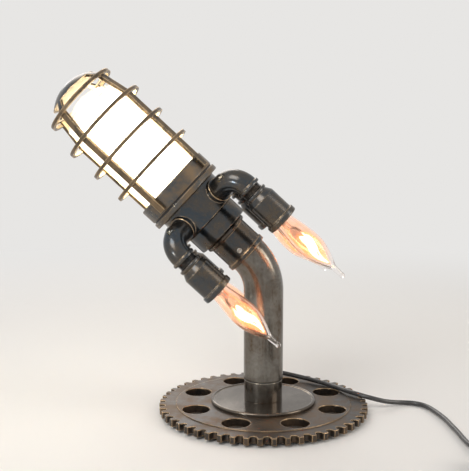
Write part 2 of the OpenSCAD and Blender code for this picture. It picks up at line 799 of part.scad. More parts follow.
// Flat bars from the band up to the dome, leaning in above the second highest hoop
module cage_frame() {
    bar_lift = 2;
    bar_z = jar_z + bar_lift;
    bend_z = hoop_last - hoop_step;
    in_r = bar_r - bar_t;
    top_in_r = bar_top_r - bar_t;
    color(BRONZE) head_frame() {
        for (k = [0 : hoop_count - 1])
            translate([0, 0, hoop_first + k * hoop_step - hoop_h / 2])
                guard_hoop(k < hoop_count - 1 ? bar_r : bar_top_r);
        for (i = [1 : bar_count])
            rotate([0, 0, cage_roll + (i - 1) * 360 / bar_count]) difference() {
                rotate([90, 0, 0]) translate([0, 0, -bar_w / 2]) linear_extrude(bar_w)
                    polygon([[in_r, bar_z], [bar_r, bar_z], [bar_r, bend_z], [bar_top_r, bar_top],
                             [top_in_r, bar_top], [in_r, bend_z]]);
                cylinder(d = band_d, h = band_top);
            }
    }
}

module cage_cap() {
    base_r = cap_d / 2;
    dome_r = (base_r * base_r + cap_h * cap_h) / (2 * cap_h);
    rim_h = 1;
    window_angle = 360 / bar_count - 2 * asin(bar_w / 2 / base_r);
    color(IRON) head_frame() translate([0, 0, bar_top]) difference() {
        intersection() {
            translate([0, 0, cap_h - dome_r]) sphere(r = dome_r, $fn = 96);
            cylinder(r = base_r + 1, h = cap_h + 1);
        }
        translate([0, 0, cap_h - dome_r]) sphere(r = dome_r - cap_wall, $fn = 96);
        for (i = [1 : bar_count])
            rotate([0, 0, cage_roll + (i - 0.5) * 360 / bar_count - window_angle / 2])
                translate([0, 0, rim_h]) rotate_extrude(angle = window_angle)
                    square([base_r + 1, window_h]);
    }
}

// Main lamp
module main_holder() {
    color("#d8d2c6") head_frame() difference() {
        union() {
            translate([0, 0, hub_floor_z]) cylinder(d = holder_body_d, h = holder_top - hub_floor_z);
            translate([0, 0, holder_top - holder_head_len])
                cylinder(d = hub_bore_d - 2 * holder_head_gap, h = holder_head_len);
        }
        translate([0, 0, main_base_z]) cylinder(d = main_base_d + 2 * loose_gap, h = hub_len);
    }
}

module main_bulb_base() {
    color(BRASS) head_frame() translate([0, 0, main_base_z + run_gap])
        cylinder(d = main_base_d, h = main_neck_z - main_base_z - run_gap);
}

module main_bulb_solid(r, neck_r, z0, z1) {
    neck_len = 4;
    shoulder_len = 10;
    dome_share = 1.5;
    neck_top = main_neck_z + neck_len;
    shoulder_z = neck_top + shoulder_len;
    translate([0, 0, z0]) cylinder(r = neck_r, h = neck_top - z0);
    translate([0, 0, neck_top]) cylinder(r1 = neck_r, r2 = r, h = shoulder_z - neck_top);
    domed_bar(r, shoulder_z, z1, r * dome_share);
}

module main_bulb_glass() {
    neck_step = 0.4;
    neck_r = main_base_d / 2 - neck_step;
    color(GLASS) head_frame() difference() {
        main_bulb_solid(main_bulb_d / 2, neck_r, main_neck_z, main_bulb_top);
        main_bulb_solid(main_bulb_d / 2 - bulb_wall, neck_r - bulb_wall, main_neck_z - 1,
                        main_bulb_top - bulb_wall);
    }
}

// Light rods between two round plates, on a glass stem
module main_filament() {
    foot_d = 12;
    foot_len = 6;
    press_d = 7;
    press_len = 22;
    ring_r = 9;
    plate_d = 24;
    plate_t = 1.5;
    top_room = 16;
    rod_d = 2.4;
    rods = 4;
    low_z = main_neck_z + press_len;
    high_z = main_bulb_top - top_room;
    color("#ffd9a0") head_frame() {
        translate([0, 0, main_neck_z]) cylinder(d = foot_d, h = foot_len);
        translate([0, 0, main_neck_z]) cylinder(d = press_d, h = press_len + plate_t / 2);
        for (z = [low_z, high_z]) translate([0, 0, z]) cylinder(d = plate_d, h = plate_t);
        for (k = [1 : rods])
            rotate([0, 0, k * 360 / rods]) translate([ring_r, 0, low_z + plate_t / 2])
                cylinder(d = rod_d, h = high_z - low_z);
    }
}

// Wires
module inner_lead() {
    color("#3b2b24") {
        stem_solid(lead_d, gland_z, hub_floor_z);
    }
}

module thruster_leads() {
    start_x = holder_body_d / 2 + loose_gap - thruster_r;
    color("#3b2b24") for (i = [1 : thrusters]) thruster_frame(i) {
        translate([start_x, 0, 0]) rotate([0, 90, 0])
            cylinder(d = thruster_lead_d, h = -elbow_r - start_x);
        elbow_bend(thruster_lead_d);
        translate([0, 0, elbow_r]) cylinder(d = thruster_lead_d, h = holder_z - elbow_r);
    }
}

// Thrusters
module elbow_bend(d) {
    translate([-elbow_r, 0, elbow_r]) rotate([-90, 0, 0])
        rotate_extrude(angle = 90) translate([elbow_r, 0]) circle(d = d);
}

module elbow(i) {
    port_x = hub_d / 2 + boss_h - thruster_r;
    thread_short = 1;
    thread_x = port_x - boss_h - port_depth + thread_short;
    color(IRON) thruster_frame(i) difference() {
        union() {
            translate([thread_x, 0, 0]) rotate([0, 90, 0])
                cylinder(d = elbow_thread_d, h = port_x - thread_x + 1);
            translate([port_x, 0, 0]) rotate([0, 90, 0]) cylinder(d = elbow_d, h = -elbow_r - port_x);
            elbow_bend(elbow_d);
            translate([0, 0, elbow_r])
                soft_ring(thruster_bead_d, elbow_bore_d / 2, thruster_bead_len, edge_r);
            translate([0, 0, elbow_r]) cylinder(d = elbow_thread_d, h = thread_end - elbow_r);
        }
        translate([thread_x - 1, 0, 0]) rotate([0, 90, 0])
            cylinder(d = elbow_bore_d, h = -elbow_r - thread_x + 1);
        elbow_bend(elbow_bore_d);
        translate([0, 0, elbow_r]) cylinder(d = elbow_bore_d, h = thread_end - elbow_r + 1);
    }
}

module cup(i) {
    shoulder_z = cup_z + thruster_bead_len;
    color(IRON) thruster_frame(i) difference() {
        union() {
            translate([0, 0, cup_z])
                soft_ring(thruster_bead_d, elbow_thread_d / 2, thruster_bead_len, edge_r);
            translate([0, 0, shoulder_z])
                cylinder(d1 = thruster_bead_d - 2 * edge_r, d2 = cup_d, h = shoulder_len);
            translate([0, 0, shoulder_z + shoulder_len])
                cylinder(d = cup_d, h = cup_len - thruster_bead_len - shoulder_len);
            translate([0, 0, cup_end - cup_rim_len])
                soft_ring(cup_rim_d, cup_bore_d / 2, cup_rim_len, edge_r);
        }
        translate([0, 0, cup_z - 1]) cylinder(d = elbow_thread_d, h = cup_len + 2);
        translate([0, 0, thread_end]) cylinder(d = cup_bore_d, h = cup_len);
    }
}

module holder(i) {
    seat_gap = 0.1;
    base_shown = 1;
    color("#cfc8ba") thruster_frame(i) translate([0, 0, holder_z]) difference() {
        cylinder(d = cup_bore_d - 2 * seat_gap,
                 h = flame_base_z - holder_z + flame_base_len - base_shown);
        translate([0, 0, flame_base_z - holder_z])
            cylinder(d = flame_base_d + 2 * loose_gap, h = cup_len);
    }
}

module bulb_base(i) {
    color(BRASS) thruster_frame(i) translate([0, 0, flame_base_z + run_gap])
        cylinder(d = flame_base_d, h = flame_base_len - run_gap);
}

// Radius of the flame bulb at share u of its length: a smooth swell from the neck to the belly, then
// a full shoulder that draws in to the tail
function flame_radius(u, belly_r, neck_r, tail_r) =
    u < flame_belly
    ? neck_r + (belly_r - neck_r) * (1 - cos(180 * u / flame_belly)) / 2
    : let (v = (u - flame_belly) / (1 - flame_belly))
      tail_r + (belly_r - tail_r) * pow(1 - v * v, flame_taper);

module flame_solid(belly_r, neck_r, tail_r, length) {
    steps = 24;
    rotate_extrude() polygon(concat(
        [[0, 0]],
        [for (k = [0 : steps]) [flame_radius(k / steps, belly_r, neck_r, tail_r), length * k / steps]],
        [[0, length]]
    ));
}

module bulb_glass(i) {
    mouth_cut = 0.01;
    color(GLASS) thruster_frame(i) translate([0, 0, flame_z]) {
        difference() {
            flame_solid(flame_d / 2, flame_neck_d / 2, flame_tail_r, flame_len);
            translate([0, 0, -mouth_cut])
                flame_solid(flame_d / 2 - bulb_wall, flame_neck_d / 2 - bulb_wall,
                            flame_tail_r - bulb_wall, flame_len - 2 * bulb_wall);
        }
        translate([0, 0, flame_len])
            cylinder(r1 = flame_tail_r, r2 = flame_waist_r, h = flame_tail_len);
        translate([0, 0, flame_len + flame_tail_len]) sphere(r = flame_tip_r);
    }
}

// Two flame-shaped plates on wires, set on the bulb's glass foot
module electrodes(i) {
    plate_t = 0.6;
    plate_gap = 3;
    plate_w = 8.8;
    plate_z = 12.6;
    plate_len = 32.8;
    plate_lean = 0.7;
    plate_round = 0.8;
    wire_d = 0.9;
    foot_d = 7.2;
    foot_len = 7.6;
    steps = 12;
    function plate_half(u) = plate_w / 2 * pow(sin(180 * pow(u, plate_lean)), plate_round);
    color("#9a938c") thruster_frame(i) translate([0, 0, flame_z]) {
        cylinder(d = foot_d, h = foot_len);
        for (side = [-1, 1]) {
            translate([0, side * plate_gap / 2, 0]) cylinder(d = wire_d, h = plate_z + plate_len / 2);
            translate([0, side * plate_gap / 2 + plate_t / 2, plate_z]) rotate([90, 0, 0])
                linear_extrude(plate_t) polygon(concat(
                    [for (k = [1 : steps - 1]) [plate_half(k / steps), plate_len * k / steps]],
                    [[0, plate_len]],
                    [for (k = [steps - 1 : -1 : 1]) [-plate_half(k / steps), plate_len * k / steps]],
                    [[0, 0]]
                ));
        }
    }
}

// What is drawn
base_felt();
base_gear();
base_disc();
base_collar();
collar_nut();
swivel_washer();
friction_washer();
swivel_nut();
cord_gland();
cord_run();
cord_coil();
coil_tie();
switch_base();
switch_cover();
switch_rocker();
plug_body();
plug_pins();
stem_pipe();
stem_sleeve();
stem_coupling();
hub_tail();
hub_body();
hub_flange();
jar_gasket();
glass_jar();
cage_band();
cage_frame();
cage_cap();
main_holder();
main_bulb_base();
main_bulb_glass();
main_filament();
inner_lead();
thruster_leads();
for (i = [1 : thrusters]) {
    elbow(i);
    cup(i);
    holder(i);
    bulb_base(i);
    bulb_glass(i);
    electrodes(i);
}
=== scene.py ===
# %% [markdown]
# # A rocket lamp on a toothed base
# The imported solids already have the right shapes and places, so this file mostly teaches finishing:
# old iron with rubbed edges, a lit glass jar, glowing flame bulbs, and a soft black cord.
# Everything is in metres, with the table at zero height and the nose pointing to -X.

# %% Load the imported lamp
import math

import bpy
import numpy as np
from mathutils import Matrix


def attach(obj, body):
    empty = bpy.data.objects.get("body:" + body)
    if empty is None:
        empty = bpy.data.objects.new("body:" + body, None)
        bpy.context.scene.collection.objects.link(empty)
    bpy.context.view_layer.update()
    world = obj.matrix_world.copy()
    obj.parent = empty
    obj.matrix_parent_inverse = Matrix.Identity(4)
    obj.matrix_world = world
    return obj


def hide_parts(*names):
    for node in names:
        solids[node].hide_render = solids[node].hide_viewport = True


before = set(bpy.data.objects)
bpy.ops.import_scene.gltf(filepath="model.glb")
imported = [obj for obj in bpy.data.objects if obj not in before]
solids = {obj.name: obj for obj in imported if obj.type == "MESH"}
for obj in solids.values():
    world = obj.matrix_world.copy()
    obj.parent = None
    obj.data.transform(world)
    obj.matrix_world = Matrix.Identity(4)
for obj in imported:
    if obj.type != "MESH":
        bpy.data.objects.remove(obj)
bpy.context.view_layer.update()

# %% [markdown]
# ## The camera
# The photo was taken from the front and a little above the base, with a longish lens. The place and
# the pitch come from the ovals of the base and the width of the stem. The image is 469 by 471 pixels.

# %% Camera
FOCAL_PIXELS = 824.0
IMAGE_HEIGHT = 471
LOOK_DOWN = 6.8
camera_data = bpy.data.cameras.new("photo_camera")
camera_data.sensor_width = 36.0
camera_data.lens = FOCAL_PIXELS * camera_data.sensor_width / IMAGE_HEIGHT
camera = bpy.data.objects.new("photo_camera", camera_data)
bpy.context.scene.collection.objects.link(camera)
camera.location = (-0.0245, -0.6843, 0.2324)
camera.rotation_euler = (math.radians(90 - LOOK_DOWN), 0, 0)
bpy.context.scene.camera = camera
print("lens", round(camera_data.lens, 2), "mm")

# %% [markdown]
# ## Meshes from arrays
# Each new piece is a grid of points: rows along a path or profile, columns around it. One helper turns
# such a grid into a closed, smooth mesh, and writes a UV map where u runs around and v along.

# %% Grid helper
def grid_quads(rows, cols):
    """The quads of a grid whose columns wrap round, each from a point to the next column and the next row."""
    row, col = np.meshgrid(np.arange(rows - 1), np.arange(cols), indexing="ij")
    right = (col + 1) % cols
    below = (row + 1) * cols
    return np.stack([row * cols + col, row * cols + right, below + right, below + col], -1).reshape(-1, 4)


def grid_piece(name, points, body, material):
    """points[row, column] are joined to quads, and columns wrap round. The two end rows get a fan of
    triangles to their mean. UV: u = column / columns, v = distance along the rows in metres."""
    rows, cols = points.shape[:2]
    around = np.arange(cols)
    nearby = (around + 1) % cols
    first, last, top = rows * cols, rows * cols + 1, (rows - 1) * cols
    vertices = np.vstack([points.reshape(-1, 3), points[0].mean(0), points[-1].mean(0)])
    faces = grid_quads(rows, cols).tolist()
    faces += np.stack([np.full(cols, first), nearby, around], -1).tolist()
    faces += np.stack([np.full(cols, last), top + around, top + nearby], -1).tolist()
    mesh = bpy.data.meshes.new(name)
    mesh.from_pydata(vertices.tolist(), [], faces)
    mesh.polygons.foreach_set("use_smooth", np.full(len(faces), True))
    step = np.linalg.norm(np.diff(points[:, 0], axis=0), axis=1)
    along = np.concatenate([[0], np.cumsum(step)])
    u, v = np.meshgrid(np.arange(cols) / cols, along)
    spots = np.vstack([np.stack([u, v], -1).reshape(-1, 2), [[0.5, 0.0], [0.5, along[-1]]]])
    corner_vertex = np.empty(len(mesh.loops), int)
    mesh.loops.foreach_get("vertex_index", corner_vertex)
    mesh.uv_layers.new(name="along").data.foreach_set("uv", spots[corner_vertex].ravel())
    mesh.update()
    piece = bpy.data.objects.new(name, mesh)
    bpy.context.scene.collection.objects.link(piece)
    mesh.materials.append(material)
    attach(piece, body)
    print(name, "has", len(vertices), "points")
    return piece


# %% Path and lathe helpers
def smooth_route(points, steps):
    """A curve through the points: between p1 and p2 it is the cubic whose ends have the slopes
    (p2 - p0) / 2 and (p3 - p1) / 2, sampled steps times a stretch."""
    p = np.asarray(points, float)
    p = np.vstack([2 * p[0] - p[1], p, 2 * p[-1] - p[-2]])
    t = (np.arange(steps) / steps)[None, :, None]
    p0, p1, p2, p3 = (p[k:len(p) - 3 + k, None] for k in range(4))
    cubic = p1 + 0.5 * t * (p2 - p0 + t * (2 * p0 - 5 * p1 + 4 * p2 - p3 + t * (3 * (p1 - p2) + p3 - p0)))
    return np.vstack([cubic.reshape(-1, 3), p[-2]])


def tube_points(route, radius, sides):
    """A ring round each point of the route: centre + radius * (cos a * side + sin a * up), where side
    is level and square to the route, and up is square to both."""
    along = np.gradient(route, axis=0)
    along /= np.linalg.norm(along, axis=1)[:, None]
    side = np.cross(along, [0, 0, 1.0])
    side /= np.linalg.norm(side, axis=1)[:, None]
    up = np.cross(side, along)
    a = np.linspace(0, 2 * np.pi, sides, endpoint=False)[None, :, None]
    return route[:, None] + radius * (np.cos(a) * side[:, None] + np.sin(a) * up[:, None])


def lathe_points(profile, origin, axis, across, sides):
    """Turns (radius, height) pairs about an axis: origin + height * axis + radius * (cos a * across +
    sin a * axis x across)."""
    profile, axis, across = (np.asarray(values, float) for values in (profile, axis, across))
    a = np.linspace(0, 2 * np.pi, sides, endpoint=False)[None, :, None]
    out = np.cos(a) * across + np.sin(a) * np.cross(axis, across)
    return np.asarray(origin) + profile[:, 1, None, None] * axis + profile[:, 0, None, None] * out


test_ring = lathe_points([[0.01, 0.0]], (0, 0, 0), (0, 0, 1), (1, 0, 0), 8)
print("a test ring is", round(float(np.ptp(test_ring[0, :, 0])), 3), "m wide")

# %% [markdown]
# ## The head's own frame
# The rocket leans on a slanted axis, and its four thrusters stand round it. These are the same numbers
# as the solids have, so that a thread or a rivet can be placed on them.

# %% Frame of the head and the thrusters
TILT = math.radians(43)
AXIS_HEIGHT = 0.1228
HEAD_REACH = 0.089
HEAD_ROLL = -38.5
PORT_DROP = 0.016
THRUSTER_OUT = 0.0535
nose = np.array([-math.cos(TILT), 0, math.sin(TILT)])
over = np.array([math.sin(TILT), 0, math.cos(TILT)])
far = np.array([0, 1.0, 0])
flange_middle = np.array([0, 0, AXIS_HEIGHT]) + HEAD_REACH * nose


def spoke(degrees):
    """The direction square to the head's axis, turned by that angle from the upper side."""
    a = math.radians(degrees)
    return math.cos(a) * over + math.sin(a) * far


def thruster_spoke(i):
    """The spoke of thruster i. The four stand a quarter turn apart."""
    return spoke(HEAD_ROLL + 90 * (i - 1))


def thruster_origin(i):
    """Where thruster i's axis meets its port's axis: behind the flange, and out along its spoke."""
    return flange_middle - PORT_DROP * nose + THRUSTER_OUT * thruster_spoke(i)


print("flange at", np.round(flange_middle, 4))

# %% [markdown]
# ## Shader helpers
# A node tree is easier to read when a node and its links are made in one call. Values go straight on
# the sockets, and an output socket in place of a value becomes a link.

# %% Node helpers
def put(tree, kind, ins=None, **settings):
    """Adds a node, sets its properties, then sets or links its inputs by name or number."""
    made = tree.nodes.new(kind)
    for key, value in settings.items():
        setattr(made, key, value)
    for key, value in (ins or {}).items():
        if isinstance(value, bpy.types.NodeSocket):
            tree.links.new(value, made.inputs[key])
        else:
            made.inputs[key].default_value = value
    return made


def own_place(tree):
    """The place on a piece, in the piece's own coordinates."""
    return put(tree, "ShaderNodeTexCoord").outputs["Object"]


def noise(tree, place, scale, detail, roughness=0.5):
    """Soft noise about 0.5, with that many waves a metre and finer layers on top."""
    return put(tree, "ShaderNodeTexNoise", {"Vector": place, "Scale": scale, "Detail": detail,
                                            "Roughness": roughness}).outputs[0]


def mix_colour(tree, share, a, b):
    """a * (1 - share) + b * share, for colours that are three numbers or an output."""
    a, b = (c if isinstance(c, bpy.types.NodeSocket) else (*c, 1.0) for c in (a, b))
    return put(tree, "ShaderNodeMix", {0: share, 6: a, 7: b}, data_type="RGBA").outputs[2]


def spread(tree, value, low, high, to_low=0.0, to_high=1.0):
    """Maps low..high to to_low..to_high, and stops at both ends."""
    return put(tree, "ShaderNodeMapRange", {"Value": value, "From Min": low, "From Max": high,
                                            "To Min": to_low, "To Max": to_high}).outputs["Result"]


def times(tree, a, b):
    """The product of two values."""
    return put(tree, "ShaderNodeMath", {0: a, 1: b}, operation="MULTIPLY").outputs[0]


def vector(tree, operation, a, b=(0.0, 0.0, 0.0)):
    """One step of vector arithmetic. Output 0 is a vector, and "Value" is a number."""
    return put(tree, "ShaderNodeVectorMath", {0: a, 1: b}, operation=operation).outputs


def along_head(tree, place):
    """The offset of a place from the flange's middle, and how far it is along the head's axis."""
    offset = vector(tree, "SUBTRACT", place, tuple(flange_middle))[0]
    return offset, vector(tree, "DOT_PRODUCT", offset, tuple(nose))["Value"]


# %% Group and material helpers
def new_group(name, inputs, outputs):
    """A shader node group with float inputs and the outputs named, and its two end nodes."""
    tree = bpy.data.node_groups.new(name, "ShaderNodeTree")
    for label, value in inputs:
        socket = tree.interface.new_socket(label, in_out="INPUT", socket_type="NodeSocketFloat")
        socket.default_value = value
    for label, kind in outputs:
        tree.interface.new_socket(label, in_out="OUTPUT", socket_type=kind)
    return tree, put(tree, "NodeGroupInput"), put(tree, "NodeGroupOutput")


def new_finish(name):
    """A new material, with its node tree and its Principled BSDF."""
    made = bpy.data.materials.new(name)
    made.use_nodes = True
    return made, made.node_tree, made.node_tree.nodes["Principled BSDF"]


def wire_up(tree, surface, varying, plain):
    """Links what varies over a surface, and sets what is the same all over on the shader's own sockets."""
    for socket, output in varying.items():
        tree.links.new(output, surface.inputs[socket])
    for socket, value in plain.items():
        surface.inputs[socket].default_value = value


def relief(tree, height, strength, distance, normal=None):
    """A bump whose height is an output, on top of another normal if one is given."""
    ins = {"Strength": strength, "Distance": distance, "Height": height}
    if normal is not None:
        ins["Normal"] = normal
    return put(tree, "ShaderNodeBump", ins).outputs[0]


def dress(material, *names):
    """Gives a finish to solids of the frame."""
    for name in names:
        solids[name].material_slots[0].material = material
    print(material.name, "on", len(names), "solids")


# %% [markdown]
# ## Rubbed edges
# Hands and cloths polish the corners of old iron and leave its hollows dark. A bevelled normal differs
# from the true one only near an edge, and open corners have more free sky than inner ones: together
# they say where a cloth has been. Noise breaks the line up.

# %% Group: edge rub
EDGE_RUB, enter, leave = new_group("edge_rub", [("Reach", 0.001), ("Break-up", 140.0)],
                                   [("Rub", "NodeSocketFloat"), ("Soft Normal", "NodeSocketVector")])
soft = put(EDGE_RUB, "ShaderNodeBevel", {"Radius": enter.outputs["Reach"]}, samples=6).outputs[0]
true = put(EDGE_RUB, "ShaderNodeNewGeometry").outputs["Normal"]
edge = spread(EDGE_RUB, vector(EDGE_RUB, "DOT_PRODUCT", soft, true)["Value"], 0.994, 0.87)
sky = put(EDGE_RUB, "ShaderNodeAmbientOcclusion", {"Distance": 0.004}, samples=4, only_local=True)
patch = noise(EDGE_RUB, own_place(EDGE_RUB), enter.outputs["Break-up"], 4.0)
rub = times(EDGE_RUB, edge, spread(EDGE_RUB, sky.outputs["AO"], 0.62, 0.85))
rub = times(EDGE_RUB, rub, spread(EDGE_RUB, patch, 0.3, 0.56, 0.15, 1.0))
EDGE_RUB.links.new(rub, leave.inputs["Rub"])
EDGE_RUB.links.new(soft, leave.inputs["Soft Normal"])
print("edge rub has", len(EDGE_RUB.nodes), "nodes")

# %% [markdown]
# ## Mottled patina
# Blacked iron is never one colour: brown bronze shows through in clouds, and the casting leaves a fine
# grain. Three scales of noise give clouds, flecks and grain.

# %% Group: mottle
MOTTLE, enter, leave = new_group(
    "mottle", [("Clouds", 45.0), ("Flecks", 420.0), ("Grain Scale", 1500.0)],
    [("Patches", "NodeSocketFloat"), ("Grain", "NodeSocketFloat")])
place = own_place(MOTTLE)
clouds = noise(MOTTLE, place, enter.outputs["Clouds"], 6.0, 0.62)
flecks = noise(MOTTLE, place, enter.outputs["Flecks"], 3.0)
grain = noise(MOTTLE, place, enter.outputs["Grain Scale"], 2.0)
patches = put(MOTTLE, "ShaderNodeMath", {0: spread(MOTTLE, clouds, 0.4, 0.66),
                                         1: spread(MOTTLE, flecks, 0.45, 0.75, 0.0, 0.45)},
              operation="ADD", use_clamp=True).outputs[0]
MOTTLE.links.new(patches, leave.inputs["Patches"])
MOTTLE.links.new(grain, leave.inputs["Grain"])
print("mottle has", len(MOTTLE.nodes), "nodes")

# %% [markdown]
# ## Faces towards the lamp
# The inner faces of the guard and the cap are painted pale and less metallic as painted lamp light, where the
# lamp inside shines on them. A face counts when its normal points to the nearest place on the lamp, which is
# a stretch of the head's axis. Both are in the piece's own coordinates, so the mask turns with the head.

# %% Group: lamp side
LAMP_FOOT, LAMP_TOP = 0.03, 0.11
LAMP_SIDE, enter, leave = new_group("lamp_side", [("Start", 0.3), ("Full", 0.75)],
                                    [("Mask", "NodeSocketFloat")])
own = put(LAMP_SIDE, "ShaderNodeTexCoord")
offset, station = along_head(LAMP_SIDE, own.outputs["Object"])
nearest = spread(LAMP_SIDE, station, LAMP_FOOT, LAMP_TOP, LAMP_FOOT, LAMP_TOP)
lamp_point = put(LAMP_SIDE, "ShaderNodeVectorMath", {0: tuple(nose), "Scale": nearest}, operation="SCALE")
toward = vector(LAMP_SIDE, "SUBTRACT", lamp_point.outputs[0], offset)[0]
toward = vector(LAMP_SIDE, "NORMALIZE", toward)[0]
facing = vector(LAMP_SIDE, "DOT_PRODUCT", own.outputs["Normal"], toward)["Value"]
mask = spread(LAMP_SIDE, facing, enter.outputs["Start"], enter.outputs["Full"])
LAMP_SIDE.links.new(mask, leave.inputs["Mask"])
print("lamp side has", len(LAMP_SIDE.nodes), "nodes")

# %% [markdown]
# ## Old iron and bronze
# Elbows, cups and hub are blacked iron fittings. The guard is browner bronze, and the gear is duller and
# rougher than both. One material function with the groups above serves them all, because they differ only
# in colour, gloss and wear. Painted textures would need a map for each of them.

# %% Rubbed metal
def rubbed_metal(name, dark, brown, bright, smooth, dull, clouds, reach, bump=0.12, painted_lamp_light=None):
    """Dark metal with brown clouds and bright rubbed edges. Rubbed places are also smoother. A painted lamp
    light
    colour is for a piece round the lamp: its inner faces take that colour as painted light and are less
    metallic."""
    metallic, painted_light_metallic, polished = 0.85, 0.2, 0.7
    made, tree, surface = new_finish(name)
    cloud = put(tree, "ShaderNodeGroup", {"Clouds": clouds}, node_tree=MOTTLE).outputs
    wear = put(tree, "ShaderNodeGroup", {"Reach": reach}, node_tree=EDGE_RUB).outputs
    body = mix_colour(tree, cloud["Patches"], dark, brown)
    worn = mix_colour(tree, wear["Rub"], body, bright)
    rough = times(tree, spread(tree, cloud["Patches"], 0.0, 1.0, smooth, dull),
                  spread(tree, wear["Rub"], 0.0, 1.0, 1.0, polished))
    varying = {"Base Color": worn, "Roughness": rough,
               "Normal": relief(tree, cloud["Grain"], bump, 0.0004, wear["Soft Normal"])}
    # Painted lamp light: faces towards the lamp take a pale colour and less metal, in place of the lamp's
    # light on them.
    if painted_lamp_light:
        inner = put(tree, "ShaderNodeGroup", node_tree=LAMP_SIDE).outputs["Mask"]
        varying["Base Color"] = mix_colour(tree, inner, worn, painted_lamp_light)
        varying["Metallic"] = spread(tree, inner, 0.0, 1.0, metallic, painted_light_metallic)
    wire_up(tree, surface, varying, {} if painted_lamp_light else {"Metallic": metallic})
    return made


# %% Dress the iron and bronze
four = range(1, 5)
iron = rubbed_metal("blacked_iron", (0.05, 0.063, 0.076), (0.1, 0.081, 0.062), (0.72, 0.52, 0.31),
                    smooth=0.15, dull=0.28, clouds=42.0, reach=0.0014, bump=0.04)
# The cap carries painted lamp light: its faces towards the lamp are pale.
cap_iron = rubbed_metal("cap_iron", (0.05, 0.06, 0.07), (0.084, 0.07, 0.054), (0.72, 0.52, 0.31),
                        smooth=0.18, dull=0.34, clouds=42.0, reach=0.0014, bump=0.05,
                        painted_lamp_light=(0.66, 0.56, 0.42))
gear_iron = rubbed_metal("gear_iron", (0.05, 0.046, 0.043), (0.12, 0.082, 0.053), (0.52, 0.36, 0.21),
                         smooth=0.3, dull=0.55, clouds=60.0, reach=0.0014)
greyed = rubbed_metal("greyed_bronze", (0.09, 0.092, 0.092), (0.17, 0.122, 0.078), (0.68, 0.49, 0.28),
                      smooth=0.26, dull=0.46, clouds=60.0, reach=0.0013)
# The guard carries painted lamp light: its faces towards the lamp are pale.
bronze = rubbed_metal("antique_bronze", (0.1, 0.08, 0.06), (0.21, 0.145, 0.085), (0.76, 0.56, 0.32),
                      smooth=0.26, dull=0.46, clouds=70.0, reach=0.0012, painted_lamp_light=(0.74, 0.58, 0.36))
coupling_iron = rubbed_metal("coupling_iron", (0.054, 0.06, 0.065), (0.105, 0.078, 0.055),
                             (0.76, 0.5, 0.28), smooth=0.17, dull=0.32, clouds=50.0, reach=0.0016, bump=0.05)
dress(cap_iron, "cage_cap")
dress(iron, "hub_tail", "hub_body", *[f"{part}_{i}" for i in four for part in ("elbow", "cup")])
dress(gear_iron, "base_gear")
dress(greyed, "hub_flange", "cage_band")
dress(bronze, "cage_frame")
dress(coupling_iron, "stem_coupling")

# %% [markdown]
# ## The stem and the polished disc
# The pipe is drawn steel, so its stains run along it. Stretching the noise along the height makes such
# streaks. The disc was turned on a lathe: fine rings round its middle catch the light.

# %% Steel finishes
def aged_steel(name, dark, pale, rough, rings):
    """Steel with streaks along its height, or with fine turned rings round the upright axis."""
    made, tree, surface = new_finish(name)
    place = own_place(tree)
    if rings:
        level = vector(tree, "MULTIPLY", place, (1, 1, 0))[0]
        distance = vector(tree, "LENGTH", level)["Value"]
        lines = put(tree, "ShaderNodeTexNoise", {"W": distance, "Scale": 2600.0, "Detail": 3.0},
                    noise_dimensions="1D").outputs[0]
    else:
        tall = put(tree, "ShaderNodeMapping", {"Vector": place, "Scale": (1.0, 1.0, 0.05)}).outputs[0]
        lines = noise(tree, tall, 420.0, 4.0)
    cloud = put(tree, "ShaderNodeGroup", {"Clouds": 32.0}, node_tree=MOTTLE).outputs
    wear = put(tree, "ShaderNodeGroup", {"Reach": 0.0008}, node_tree=EDGE_RUB).outputs
    share = times(tree, cloud["Patches"], spread(tree, lines, 0.3, 0.7, 0.4, 1.0))
    body = mix_colour(tree, share, pale, dark)
    wire_up(tree, surface, {"Base Color": mix_colour(tree, wear["Rub"], body, (0.66, 0.58, 0.46)),
                            "Roughness": spread(tree, lines, 0.3, 0.7, rough * 0.8, rough * 1.25),
                            "Normal": relief(tree, lines, 0.08, 0.0003, wear["Soft Normal"])},
            {"Metallic": 0.92})
    return made


stem_steel = aged_steel("stem_steel", (0.062, 0.036, 0.018), (0.19, 0.18, 0.162), 0.19, rings=False)
disc_steel = aged_steel("disc_steel", (0.065, 0.048, 0.036), (0.145, 0.124, 0.102), 0.13, rings=True)
nut_steel = aged_steel("nut_steel", (0.2, 0.17, 0.14), (0.45, 0.42, 0.38), 0.36, rings=True)
dress(stem_steel, "stem_pipe", "base_collar")
dress(disc_steel, "base_disc")
dress(nut_steel, "collar_nut", "swivel_nut")

# %% [markdown]
# ## Glass and light
# The jar is clear glass with plain transmission and a painted glow beside the lamp, in place of the lamp's
# light in it.
# What glows gives off its own light: the main lamp is white-hot, and cooler at both ends.

# %% Lit glass of the jar
GLASS_IOR = 1.46
LIT_TO, CLEAR_FROM = 0.096, 0.108


def lit_glass(name, tint, rough, glow, power):
    """Clear glass with faint ripples in its surface, and a painted glow beside the lamp that stands in for
    the lamp's light in the glass, which falls to a fifth past the lamp's end."""
    made, tree, surface = new_finish(name)
    place = own_place(tree)
    ripple = noise(tree, place, 90.0, 2.0)
    dimmer, faint = ([channel * share for channel in glow] for share in (0.75, 0.2))
    past = spread(tree, along_head(tree, place)[1], LIT_TO, CLEAR_FROM)
    light = mix_colour(tree, past, mix_colour(tree, ripple, glow, dimmer), faint)
    wire_up(tree, surface, {"Roughness": spread(tree, ripple, 0.3, 0.7, rough * 0.7, rough * 1.3),
                            "Normal": relief(tree, ripple, 0.05, 0.0005),
                            "Emission Color": light},
            {"Base Color": (*tint, 1.0), "Transmission Weight": 1.0, "IOR": GLASS_IOR,
             "Emission Strength": power})
    return made


